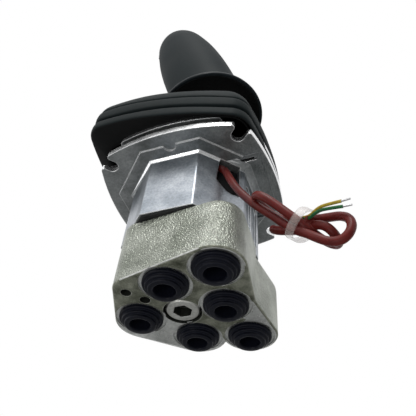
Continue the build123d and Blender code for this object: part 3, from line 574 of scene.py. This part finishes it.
def valve_block():
    """The block, its low shoulder over the far outer port, and everything bored into it."""
    foot = [(BODY_BOTTOM, 0.8), (-74.75, 0.35), (SPOT_FACE, 0.0)]
    rings = []
    for height, inset in foot + [(-64.0, 0.0), (-54.0, 0.0), (-46.0, 0.0), (-41.8, 0.0), (-41.0, 0.35),
                                 (BODY_TOP, 1.1)]:
        front = between(FRONT_LOW, FRONT_HIGH, (height - BODY_BOTTOM) / (BODY_TOP - BODY_BOTTOM))
        rings.append(hull_ring(SIDES + [front], inset, height))
    block = tidy(ringed("valve_block", rings, "cast", capped=True), 40)
    shoulder = [((20.5, 0.0), 13.0), ((24.2, 25.5), 13.2)]
    fillet, fillet_foot = 7.5, -50.5
    arc = []
    for degrees in range(90, -15, -15):
        t = math.radians(degrees)
        arc.append((fillet_foot + fillet * math.cos(t), fillet - fillet * math.sin(t)))
    rings = [hull_ring(shoulder, inset, height) for height, inset in foot + arc]
    other = tidy(ringed("shoulder", rings, "cast", capped=True), 40)
    join(block, other)
    below, above = BODY_BOTTOM - 1.0, BODY_TOP + 0.6
    for x, y in PORTS:
        bored(block, x, y, SPOT_RADIUS, below, SPOT_FACE)
        bored(block, x, y, PORT_BORE, below, -62.0)
    bored(block, 0, 0, COUNTERBORE, below, -64.5)
    bored(block, 0, 0, BOLT_BORE, below, above)
    for x, y in DRILLINGS:
        bored(block, x, y, DRILL, below, -68.0)
    for x, y in PORTS[:4]:
        bored(block, x, y, SPOOL_BORE, -70.0, above)
    tidy(block, 32)
    face_materials(block, ("cast", "port_face", "machined", "recess_shade"), body_choice)
    dress(block, "base", "cast_body", "valve_body")


def housing_skin():
    """The control housing with its boot rails' lips as high and as thick as the real ones."""
    cad_lip, lip, thicker = 5.3 * MM, 8.3 * MM, 1.55
    data = nodes["control_housing"].data.copy()
    for vertex in data.vertices:
        if vertex.co.z > cad_lip - 0.1 * MM:
            vertex.co.z = lip + (vertex.co.z - cad_lip) * thicker
    data.update()
    skin = bpy.data.objects.new("housing_skin", data)
    bpy.context.scene.collection.objects.link(skin)
    face_materials(skin, ("housing", "neck", "with_painted_highlight", "recess_shade"), housing_choice)
    dress(skin, "base", "aluminium_housing", "control_housing")


valve_block()
housing_skin()
# The gallery plugs get the painted recess shade
for node, look_name in (
    ("housing_gasket", "gasket"), ("gallery_plugs", "recess_shade"),
    ("plunger_bushes", "brass"), ("bush_seals", "dark"), ("bush_retaining_plate", "steel"),
    ("retaining_screws", "steel"), ("joint_base", "hard"), ("joint_cross", "hard"),
    ("joint_fork", "hard"), ("cam_plate", "hard"), ("cam_nut", "steel"), ("lever_rod", "steel"),
    ("lock_nut", "steel"), ("cable_grommet", "dark"),
):
    paint(nodes[node], look_name)
# Painted shade in the centre bolt's hex socket
face_materials(nodes["centre_bolt"], ("steel", "recess_shade"),
               lambda c, n: 1 if math.hypot(c.x, c.y) < SOCKET_RADIUS and c.z < -66 else 0)
for number in range(1, 5):
    for stem in ("plunger", "spool", "spring_seat"):
        paint(nodes[f"{stem}_{number}"], "hard")


def coil_spring(name, node, start, end, mean, wire, turns):
    """A wound spring over a share of a CAD spring's height.

    mean is the radius to the middle of the wire, and wire is the wire's own radius.
    """
    points_per_turn, points_round_wire = 20, 8
    low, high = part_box(node)
    middle = (low + high) / 2
    bottom, top = low.z + (high.z - low.z) * start, low.z + (high.z - low.z) * end
    first = bottom + (wire * MM if start == 0 else 0)
    last = top - (wire * MM if end == 1 else 0)
    count = int(turns * points_per_turn)
    rings = []
    for i in range(count + 1):
        t = i / count
        turn = 2 * math.pi * turns * t
        out = Vector((math.cos(turn), math.sin(turn), 0))
        centre = Vector((middle.x, middle.y, first + (last - first) * t)) + out * mean * MM
        ring = []
        for k in range(points_round_wire):
            b = 2 * math.pi * k / points_round_wire
            ring.append(tuple(centre + (out * math.cos(b) + Vector((0, 0, math.sin(b)))) * wire * MM))
        rings.append(ring)
    piece = tidy(ringed(name, rings, "spring", capped=True), 50)
    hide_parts(node)
    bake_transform(piece)


for number in range(1, 5):
    outer, inner = f"return_spring_{number}", f"control_spring_{number}"
    coil_spring(f"return_coil_{number}", outer, 0, 1, 6.6, 0.78, 4)
    coil_spring(f"control_low_{number}", inner, 0, 0.3, 3.8, 0.55, 1.5)
    coil_spring(f"control_high_{number}", inner, 0.3, 1, 3.8, 0.55, 3.5)


# ---------------------------------------------------------------- protective plugs
def plug(number, x, y):
    """A stepped plug with a flat ring, pressed into its port."""
    profile = [(4.9, -78.5), (5.2, -78.8), (6.9, -78.8), (7.2, -78.68), (7.3, -78.4), (7.3, -77.5),
               (7.38, -77.4), (8.4, -77.4), (8.65, -77.28), (8.75, -77.0), (8.75, -76.0),
               (8.85, -75.9), (9.9, -75.9), (10.15, -75.76), (10.25, -75.5), (10.25, -74.4),
               (10.1, -74.2), (5.9, -74.2), (5.9, -66.4), (5.2, -65.2), (0.02, -65.2),
               (0.02, -66.2), (4.3, -66.2), (4.45, -66.5), (4.75, -78.1)]
    obj = tidy(ringed(f"plug_{number}", turned_rings(profile, x, y), "plug"), 28)
    dress(obj, "base", "plug_plastic", f"port_plug_{number}")


for number, (x, y) in enumerate(PORTS, start=1):
    plug(number, x, y)


# ---------------------------------------------------------------- rubber boot
# The boot sits a little askew on its rails: how far each corner has moved, in millimetres
ASKEW = {(-1, -1): (-1.6, -8.2, 1.6), (1, -1): (-2.4, 0.0, -8.0), (-1, 1): (-3.0, -2.0, 3.0),
         (1, 1): (-3.5, 0.0, 0.0)}
BOOT_SPAN = 84.0
MOULD_LINE_WIDTH, MOULD_LINE_HEIGHT = 0.4, 0.22


def ease(value, low, high):
    """A smooth step from 0 to 1."""
    t = min(1.0, max(0.0, (value - low) / (high - low)))
    return t * t * (3 - 2 * t)


def askew(p, hold):
    """Bilinear between the corners, none at the foot and at the collar."""
    x, y, z = p
    u, v = 0.5 + x / BOOT_SPAN, 0.5 + y / BOOT_SPAN
    u, v = min(1.1, max(-0.1, u)), min(1.1, max(-0.1, v))
    weight = hold * (1.0 - ease(z, 44.0, 62.0))
    move = Vector()
    for (sx, sy), far in ASKEW.items():
        share = (u if sx > 0 else 1 - u) * (v if sy > 0 else 1 - v)
        move += Vector(far) * share
    return Vector(p) + move * weight


def bellows(name, sections):
    """Closed skin through sections of (height, half, squareness, corner, hold)."""
    rings = []
    for height, half, squareness, corner, hold in sections:
        ring = []
        for x, y, z in bowed_ring(half, squareness, corner, height):
            # A moulding line runs up the middle of the front and of the back
            line = math.exp(-((x / MOULD_LINE_WIDTH) ** 2)) * (1 if abs(y) > 20 else 0)
            y += math.copysign(MOULD_LINE_HEIGHT * line, y)
            # The thin pleats aren't quite even
            ripple = 0.16 * math.sin(x / 8.0 + z / 2.6) + 0.12 * math.sin(y / 6.0 - z / 4.0)
            p = askew((x, y, z + ripple * hold), hold)
            ring.append(tuple(p * MM))
        rings.append(ring)
    return ringed(name, rings, "boot")


def shade_bands(obj, per_ring, first, last):
    """Painted shade, near black, on the underside and in the hollow: every ring of faces outside first
    to last.
    """
    obj.data.materials.append(LOOKS["inside"])
    for face in obj.data.polygons:
        face.material_index = 0 if first <= face.index // per_ring < last else 1


# How bowed the sides are: the half width near a corner as a share of that in the middle
SQ = 0.892
lower_skin = smooth_line([
    # height, half width, squareness, corner radius, share of the shift
    (11.0, 43.2, SQ, 9.2, 0.0), (11.1, 44.4, SQ, 9.6, 0.1), (11.5, 45.4, SQ, 9.8, 0.45),
    (12.0, 46.6, SQ, 9.9, 0.85), (12.4, 47.5, SQ, 10.0, 1.0), (13.2, 48.1, SQ, 10.1, 1.0),
    (14.6, 48.3, SQ, 10.1, 1.0), (17.0, 48.2, SQ, 10.1, 1.0), (18.6, 47.9, SQ, 10.1, 1.0),
    (19.6, 47.2, SQ, 10.0, 1.0), (20.1, 45.4, SQ, 9.6, 1.0), (20.5, 45.2, SQ, 9.6, 1.0),
    (21.2, 47.0, SQ, 10.0, 1.0), (22.2, 47.8, SQ, 10.1, 1.0), (25.0, 48.0, SQ, 10.1, 1.0),
    (28.0, 47.8, SQ, 10.1, 1.0), (29.0, 47.3, SQ, 10.0, 1.0), (29.6, 46.3, SQ, 9.8, 1.0),
], 3)
upper_skin = smooth_line([
    (29.6, 46.3, SQ, 9.8, 1.0), (30.2, 46.6, SQ, 9.9, 1.0), (31.2, 47.1, SQ, 10.0, 1.0),
    (34.0, 46.6, SQ, 10.0, 1.0), (38.0, 45.2, SQ, 9.9, 1.0), (42.0, 43.2, SQ, 9.8, 1.0),
    (45.0, 41.0, 0.885, 9.8, 1.0), (48.0, 37.6, 0.87, 9.8, 1.0), (51.5, 32.5, 0.85, 9.4, 1.0),
    (55.0, 26.5, 0.82, 9.0, 1.0), (59.0, 19.5, 0.79, 7.6, 1.0), (62.0, 15.6, 0.765, 6.4, 1.0),
    (64.5, 13.6, 0.75, 5.8, 1.0), (68.0, 12.7, 0.745, 5.6, 1.0), (71.2, 12.5, 0.745, 5.6, 1.0),
    (72.0, 11.8, 0.745, 5.4, 1.0), (72.0, 9.4, 0.72, 5.0, 1.0),
], 3)
lower_inner = [
    (29.6, 43.6, SQ, 9.2, 1.0), (27.0, 45.2, SQ, 9.5, 1.0), (22.6, 45.4, SQ, 9.5, 1.0),
    (20.3, 42.6, SQ, 9.0, 1.0), (18.0, 45.3, SQ, 9.5, 1.0), (14.0, 45.7, SQ, 9.5, 1.0),
    (13.0, 44.8, SQ, 9.4, 0.85), (12.3, 43.2, SQ, 9.2, 0.45), (11.8, 42.2, SQ, 9.0, 0.0),
]
upper_inner = [
    (71.4, 8.5, 0.712, 4.6, 1.0), (62.0, 9.2, 0.72, 4.8, 1.0), (58.0, 14.0, 0.76, 6.2, 1.0),
    (52.0, 25.0, 0.82, 8.0, 1.0), (46.0, 35.6, 0.86, 8.4, 1.0), (40.0, 42.0, SQ, 8.8, 1.0),
    (33.0, 44.4, SQ, 9.2, 1.0), (29.6, 43.6, SQ, 9.2, 1.0),
]
boot_lower = bellows("boot_lower", lower_skin + lower_inner)
boot_upper = bellows("boot_upper", upper_skin + upper_inner)
boot_ring = len(bowed_ring(40.0, SQ, 9.0, 0.0))
# Painted shade under the boot's widest pleat and in both parts' hollows
shade_bands(boot_lower, boot_ring, 13, len(lower_skin) - 1)
shade_bands(boot_upper, boot_ring, 0, len(upper_skin) - 1)
for piece in (boot_lower, boot_upper):
    tidy(piece, 75)
    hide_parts("boot")
# Both parts are baked in place; the seam between them lies askew
for piece, low, high, height, length in (
    (boot_lower, "base", "cross", 0.0165, 0.0099),
    (boot_upper, "cross", "lever", 0.031, 0.0327),
):
    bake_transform(piece)

# ---------------------------------------------------------------- leaning grip and hand rest
FOOT = Vector((7.0, 0, 85.0))
GRIP_LEAN = 18.0
REST_RING, GRIP_RING = 96, 128
SEAM_DEPTH, SEAM_HALF_WIDTH = 0.22, 0.02


def lean_axes(degrees):
    """The leaning axis and the direction square to it, to the rear."""
    lean = math.radians(degrees)
    along = Vector((-math.sin(lean), 0, math.cos(lean)))
    return along, Vector((along.z, 0, -along.x))


AXIS, REAR = lean_axes(GRIP_LEAN)
FORWARD = -REAR


def oval_ring(lean, station, half, width, forward, power=2.0, count=REST_RING):
    """A superellipse across a leaning axis, its points evenly spread by angle."""
    along, rear = lean_axes(lean)
    ring = []
    for k in range(count):
        a = 2 * math.pi * (k + 0.5) / count
        c, w = math.cos(a), math.sin(a)
        u = math.copysign(abs(c) ** (2 / power), c)
        v = math.copysign(abs(w) ** (2 / power), w)
        p = FOOT + along * station + rear * (half * u - forward) + Vector((0, width * v, 0))
        ring.append(tuple(p * MM))
    return ring


rest_profile = [
    # lean, station, half length, half width, offset to the front
    (18.0, 8.1, 25.0, 19.0, 0.0), (17.0, 6.8, 26.6, 20.8, 0.2), (15.0, 4.8, 28.6, 24.0, 1.2),
    (13.0, 2.2, 30.8, 27.4, 2.4), (11.5, -0.6, 32.6, 30.4, 3.6), (10.5, -3.2, 34.0, 32.6, 4.3),
    (10.0, -5.2, 34.8, 33.6, 4.5), (10.0, -6.6, 35.0, 33.9, 4.5), (10.0, -7.4, 34.6, 33.5, 4.5),
    (10.0, -7.6, 33.6, 32.5, 4.5), (10.0, -7.0, 32.8, 31.7, 4.5), (10.0, -5.0, 31.6, 30.6, 4.3),
    (10.5, -2.6, 29.4, 28.2, 3.6), (12.0, -0.4, 26.6, 24.6, 2.4), (13.0, 1.4, 22.0, 19.6, 1.2),
    (13.0, 2.2, 15.0, 13.4, 0.6),
]
rest_rings = [oval_ring(*row) for row in smooth_line(rest_profile, 3)]
hand_rest = ringed("hand_rest_skin", rest_rings, "rest")
# Painted shade under the hand rest
shade_bands(hand_rest, REST_RING, 0, 29)
tidy(hand_rest, 50)
dress(hand_rest, "lever", "grip_plastic", "hand_rest")

grip_profile = [
    # station, half depth, half width, power
    (8.0, 24.9, 18.9, 2.05), (14.0, 24.4, 18.2, 2.1), (30.0, 24.3, 17.9, 2.15),
    (46.0, 24.7, 18.3, 2.15), (62.0, 24.8, 18.4, 2.15), (78.0, 24.4, 18.2, 2.1),
    (92.0, 23.5, 17.8, 2.1), (104.0, 22.2, 17.2, 2.05), (114.0, 20.9, 16.5, 2.0),
    (123.0, 19.2, 15.2, 2.0), (131.0, 16.4, 13.2, 2.0), (138.0, 12.6, 10.4, 2.0),
    (143.4, 8.0, 6.9, 2.0), (146.4, 4.6, 4.0, 2.0), (147.5, 1.6, 1.4, 2.0),
]
grip_rings = []
for station, half, width, power in smooth_line(grip_profile, 5):
    grip_rings.append(oval_ring(GRIP_LEAN, station, half, width, 0.0, power, GRIP_RING))


def grip_half(name, side):
    """One half shell, with its rim pulled in so that the parting line shows as a fine groove."""
    rings = []
    for ring in grip_rings:
        mid = sum((Vector(p) for p in ring), Vector()) / len(ring)
        kept = [Vector(p) for p in ring[: len(ring) // 2]]
        kept = [kept[0].copy()] + kept + [kept[-1].copy()]
        if side < 0:
            kept = [Vector((p.x, -p.y, p.z)) for p in kept]
        for rim in (kept[0], kept[-1]):
            rim.y = side * SEAM_HALF_WIDTH * MM
            rim += (mid - rim).normalized() * SEAM_DEPTH * MM
        rings.append([tuple(p) for p in kept])
    verts = [p for ring in rings for p in ring]
    count = len(rings[0])
    faces = []
    for i in range(len(rings) - 1):
        a, b = i * count, (i + 1) * count
        faces += [(a + k, a + k + 1, b + k + 1, b + k) for k in range(count - 1)]
        faces.append((a, b, b + count - 1, a + count - 1))
    faces.append(tuple(range(count)))
    faces.append(tuple(range((len(rings) - 1) * count, len(rings) * count)))
    return tidy(new_mesh(name, verts, faces, "grip"), 40)


BEZEL_RADIUS, CAP_RADIUS, CLEARANCE = 4.6, 3.2, 0.05
SCREW_HEAD, SCREW_RECESS, SCREW_BAR, SCREW_KEY = 3.2, 3.5, 1.5, 1.4
button_at = FOOT + AXIS * 117.0 + FORWARD * 19.6
screws_at = [FOOT + AXIS * s + FORWARD * f for s, f in ((35.0, 0.0), (68.0, -13.0), (96.0, 2.0))]


def on_button(name, back, ahead, radius, material="button"):
    """A round bar on the button's line, from behind its place on the grip to ahead of it."""
    return rod(name, button_at - FORWARD * back, button_at + FORWARD * ahead, radius, material)


def across(name, at, near, far, radius, material, count=48):
    """A round bar across the lever's plane."""
    return rod(name, at + Vector((0, near, 0)), at + Vector((0, far, 0)), radius, material, count)


for name, side, node in (
    ("grip_skin_left", 1, "grip_left_shell"), ("grip_skin_right", -1, "grip_right_shell"),
):
    half = grip_half(name, side)
    cut(half, tidy(on_button("cutter", 8.2, 20, BEZEL_RADIUS + CLEARANCE, "grip")))
    if side > 0:
        for at in screws_at:
            cut(half, tidy(across("cutter", at, 9.1, 29.1, SCREW_RECESS, "grip")))
    tidy(half, 40)
    paint(half, "grip")
    dress(half, "lever", "grip_plastic", node)


bezel = tidy(on_button("bezel_ring", 6.2, 0.3, BEZEL_RADIUS))
cut(bezel, on_button("cutter", 9, 4, CAP_RADIUS + 0.15))
tidy(bezel, 40)
dress(bezel, "lever", "grip_plastic", "button_bezel")
cap = tidy(on_button("button_cap", 4.4, 1.1, CAP_RADIUS), 50)
dress(cap, "button", "button_red", "push_button")

SWITCH_HALF_LENGTH, SWITCH_HALF_WIDTH = 8.5, 4.8
switch_rings = []
for forward, grow in ((11.2, -0.6), (10.8, 0.0), (1.6, 0.0), (1.2, -0.6)):
    centre = FOOT + AXIS * 115.0 + FORWARD * forward
    up_grip = AXIS * (SWITCH_HALF_LENGTH + grow)
    sideways = Vector((0, SWITCH_HALF_WIDTH + grow, 0))
    switch_rings.append([
        tuple((centre + up_grip * u + sideways * v) * MM)
        for u, v in ((-1, -1), (1, -1), (1, 1), (-1, 1))
    ])
switch = tidy(ringed("switch_box", switch_rings, "plug", capped=True), 30)
dress(switch, "lever", "plug_plastic", "microswitch")

for at in screws_at:
    head = across("screw_set", at, 6.4, 9.0, SCREW_HEAD, "steel")
    join(head, across("bar", at, -9, 6.8, SCREW_BAR, "steel"))
    cut(head, across("cutter", at, 7.4, 12, SCREW_KEY, "steel", 6))
    tidy(head, 30)
    dress(head, "lever", "zinc_steel", "grip_screws")

# ---------------------------------------------------------------- cable, hank, tie and wires
# The hank's own axes, from the middle of its tie: along it, across it and into its depth
TIE = Vector((60.5, -27.0, -62.0))
ALONG = Vector((0.72, 0, -0.694))
ACROSS = Vector((0.6135, -0.469, 0.6365))
DEEP = Vector((0.325, 0.884, 0.338))
CABLE, WIRE, TIP = 1.9, 0.68, 0.42


def hank(s, m, e):
    """A point from its place along, across and deep in the hank."""
    return TIE + ALONG * s + ACROSS * m + DEEP * e


lead = [(21.2, -20.2, -3.6), (24.8, -23.4, -9.5), (27.8, -25.2, -18.5), (33.0, -26.2, -31.0),
        (41.3, -26.8, -44.0), (48.0, -27.6, -52.2)]
coil = [
    (-6.0, -2.4, -1.8), (0.0, -2.7, -1.8), (6.0, -1.9, -3.0), (12.0, -1.8, -4.2), (17.5, -1.2, -4.4),
    (21.2, 1.2, -3.8), (22.2, 5.0, -2.8), (20.6, 8.6, -1.2), (17.0, 10.6, 0.4), (12.4, 10.2, 2.0),
    (7.6, 8.2, 3.6), (2.8, 6.0, 4.8), (-2.0, 3.6, 5.4), (-7.0, 1.4, 6.0), (-13.0, -0.4, 7.2),
    (-19.0, -0.6, 9.2), (-24.0, -0.2, 9.6), (-27.6, 1.0, 6.6), (-28.6, 2.0, 2.4), (-27.4, 3.2, -1.8),
    (-23.6, 4.0, -4.6), (-18.0, 3.9, -4.8), (-12.0, 3.0, -4.0), (-5.7, 2.0, -3.4), (0.4, 0.9, -2.4),
    (5.0, -0.2, 1.0), (8.0, -0.9, 5.4), (10.6, -0.9, 8.4), (14.0, -0.2, 8.0), (15.6, 1.0, 4.8),
    (14.8, 2.6, 1.4), (11.2, 4.0, -0.4), (6.6, 3.6, 0.6), (2.0, 1.2, 1.8), (-3.0, -2.0, 3.0),
    (-8.0, -4.4, 3.6), (-13.0, -6.0, 4.6), (-17.4, -6.2, 7.4), (-19.0, -5.4, 11.4), (-17.0, -4.2, 14.6),
    (-12.6, -3.0, 14.4), (-8.4, -1.6, 11.6), (-5.0, 0.2, 7.4), (-2.0, 2.2, 3.6), (0.6, 3.4, 0.6),
    (3.0, 3.8, -0.8),
]
route = [Vector(p) for p in lead] + [hank(*p) for p in coil]


def nurbs(name, points, radius, material):
    """A round cord on a quadratic spline that starts and ends at its first and last points."""
    data = bpy.data.curves.new(name, "CURVE")
    data.dimensions = "3D"
    data.resolution_u = 12
    data.bevel_depth = radius * MM
    data.bevel_resolution = 5
    data.use_fill_caps = True
    line = data.splines.new("NURBS")
    line.points.add(len(points) - 1)
    for target, p in zip(line.points, points):
        target.co = (p[0] * MM, p[1] * MM, p[2] * MM, 1.0)
    line.order_u = 3
    line.use_endpoint_u = True
    obj = bpy.data.objects.new(name, data)
    bpy.context.scene.collection.objects.link(obj)
    obj.data.materials.append(LOOKS[material])
    return obj


def spline_length(points):
    """Length of nurbs()'s spline over the same points."""
    pts = [np.array(p, float) for p in points]
    total, last = 0.0, None
    for i in range(len(pts) - 2):
        a = pts[0] if i == 0 else (pts[i] + pts[i + 1]) / 2
        c = pts[-1] if i == len(pts) - 3 else (pts[i + 1] + pts[i + 2]) / 2
        for k in range(17):
            t = k / 16
            p = (1 - t) ** 2 * a + 2 * t * (1 - t) * pts[i + 1] + t * t * c
            if last is not None:
                total += float(np.linalg.norm(p - last))
            last = p
    return total


cable = nurbs("cable_line", route, CABLE, "cable")
cable_length = spline_length(route)
dress(cable, "base", "cable_red", "control_cable", "cable_hank")

wires = []
wire_root = hank(2.0, 3.7, -0.6)
for name, look_name, offsets, node in (
    ("wire_yellow_line", "yellow",
     ((0, 0.7, -0.5), (3.2, 5.6, -2.6), (7.0, 8.6, -2.6), (10.6, 11.3, -2.0)), "wire_yellow"),
    ("wire_green_line", "green",
     ((0, -0.6, -0.4), (3.6, 4.0, -2.8), (8.0, 6.9, -2.9), (12.4, 9.6, -2.2)), "wire_green"),
):
    path = [wire_root - ALONG * 2.5 - ACROSS * 0.2]
    path += [wire_root + ALONG * s + ACROSS * m + DEEP * e for s, m, e in offsets]
    wire = nurbs(name, path, WIRE, look_name)
    dress(wire, "base", node, node)
    end = path[-1]
    way = (path[-1] - path[-2]).normalized()
    bare = [end - way * 1.0, end + way * 1.5, end + way * 3.4 + ACROSS * 0.3]
    tip = nurbs(name.replace("line", "tip"), bare, TIP, "tinned")
    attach(tip, "base")
    wires += [wire, tip]


def band():
    """The tie: a flat strap round the bundle."""
    outline = [(-5.4, -4.4), (0.6, -5.6), (5.6, -3.6), (7.2, 2.2), (6.6, 6.6), (2.0, 8.0), (-3.0, 6.2),
               (-5.6, 1.4)]
    loop = []
    for i in range(len(outline)):
        a, b, c, d = (np.array(outline[(i + k) % len(outline)], float) for k in (-1, 0, 1, 2))
        loop += [catmull(a, b, c, d, k / 8) for k in range(8)]
    rings = []
    for grow, s in ((0.0, -1.9), (0.5, -2.0), (0.95, -1.8), (0.95, 1.8), (0.5, 2.0), (0.0, 1.9)):
        ring = []
        for m, e in loop:
            radius = math.hypot(m, e)
            scale = (radius + grow) / radius
            ring.append(tuple(hank(s, m * scale, e * scale) * MM))
        rings.append(ring)
    return ringed("tie_band", rings, "tie")


tie = band()
tidy(tie, 50)
dress(tie, "base", "tie_nylon", "cable_tie")

# ---------------------------------------------------------------- light, floor and background
FLOOR_HALF, FLOOR_HEIGHT = 3.0, -0.62
scene = bpy.context.scene
scene.view_settings.view_transform = "Standard"
world = bpy.data.worlds.new("studio")
scene.world = world
world.use_nodes = True
tree = world.node_tree
tree.nodes.clear()
output = tree.nodes.new("ShaderNodeOutputWorld")


def background(color, strength):
    node = tree.nodes.new("ShaderNodeBackground")
    node.inputs["Color"].default_value = (*color, 1)
    node.inputs["Strength"].default_value = strength
    return node


# White to the camera, in reflections and through the tie; a weak pale light on all else
pale = background((0.93, 0.96, 1.0), 0.17)
white = background((1, 1, 1), 1.0)
light_path = tree.nodes.new("ShaderNodeLightPath")
mixer = tree.nodes.new("ShaderNodeMixShader")
seen = light_path.outputs["Is Camera Ray"]
for kind in ("Is Glossy Ray", "Is Transmission Ray"):
    either = tree.nodes.new("ShaderNodeMath")
    either.operation = "MAXIMUM"
    tree.links.new(seen, either.inputs[0])
    tree.links.new(light_path.outputs[kind], either.inputs[1])
    seen = either.outputs[0]
tree.links.new(seen, mixer.inputs[0])
tree.links.new(pale.outputs[0], mixer.inputs[1])
tree.links.new(white.outputs[0], mixer.inputs[2])
tree.links.new(mixer.outputs[0], output.inputs["Surface"])


def area(name, at, aim, size, power, color):
    """A rectangular lamp, in metres and watts."""
    light = bpy.data.lights.new(name, "AREA")
    light.shape = "RECTANGLE"
    light.size, light.size_y = size
    light.energy = power
    light.color = color
    obj = bpy.data.objects.new(name, light)
    scene.collection.objects.link(obj)
    obj.location = at
    obj.rotation_euler = (Vector(aim) - Vector(at)).to_track_quat("-Z", "Y").to_euler()


area("broad_front", (-0.55, -0.95, 0.75), (0, 0, 0), (1.3, 0.9), 3.6, (1.0, 0.99, 0.97))
area("streak", (0.13, -0.75, 0.80), (0, 0, -0.05), (0.12, 0.6), 8.0, (1.0, 1.0, 0.98))
area("near_camera", (-0.16, -0.62, -0.52), (0, 0, -0.02), (0.22, 0.22), 0.9, (1.0, 1.0, 1.0))
area("right", (0.85, -0.25, 0.25), (0, 0, -0.02), (0.25, 0.6), 0.3, (0.94, 0.97, 1.0))
area("left", (-0.9, -0.1, 0.1), (0, 0, 0.05), (0.3, 0.6), 0.7, (0.97, 0.98, 1.0))

corners = [
    (x * FLOOR_HALF, y * FLOOR_HALF, FLOOR_HEIGHT) for x, y in ((-1, -1), (1, -1), (1, 1), (-1, 1))
]
floor = new_mesh("floor", corners, [(0, 1, 2, 3)], "floor", smooth=False)
